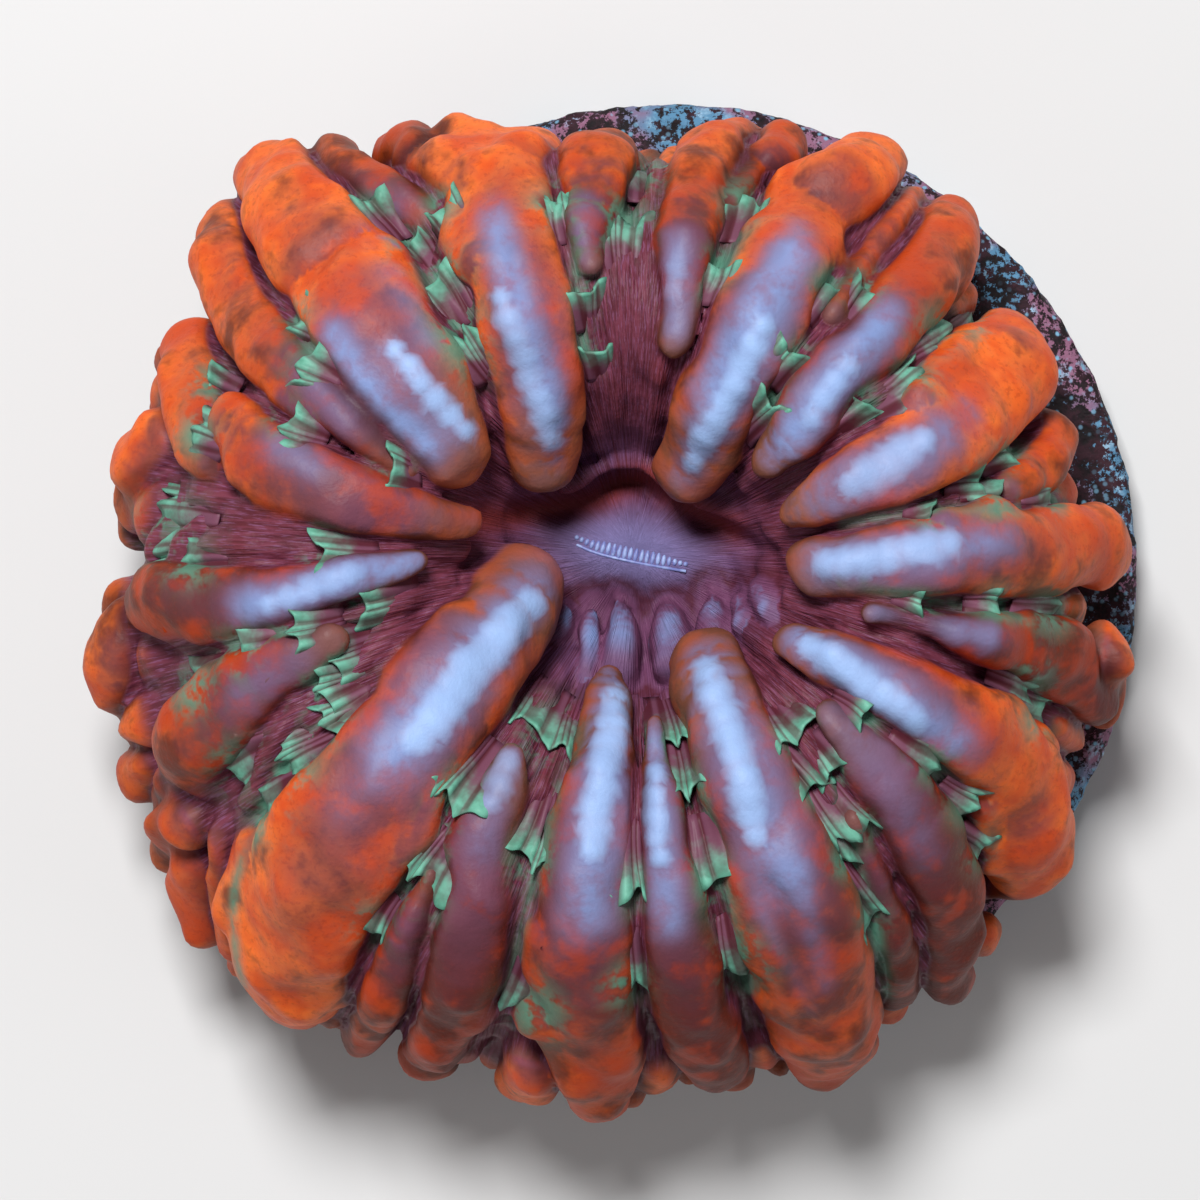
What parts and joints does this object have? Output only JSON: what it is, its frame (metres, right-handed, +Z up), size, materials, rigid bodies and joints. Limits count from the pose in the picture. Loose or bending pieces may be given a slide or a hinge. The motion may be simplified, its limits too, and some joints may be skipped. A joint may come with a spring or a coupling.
{
  "type": "coral polyp on frag disc",
  "caption": "Fleshy solitary coral polyp with swollen radial lobes round a sunken mouth, seated on a flat round disc.",
  "frame": {"origin": "centre of the disc's flat underside", "axes": "+Z straight up out of the disc, +X to the right and +Y away as seen in the picture from above"},
  "size_m": [0.0628, 0.0607, 0.0298],
  "materials": {
    "polyp_flesh": "moist",
    "disc_ceramic": "encrusted matt"
  },
  "bodies": {
    "root": {"polyp": "polyp_flesh", "frag_disc": "disc_ceramic"}
  },
  "joints": []
}
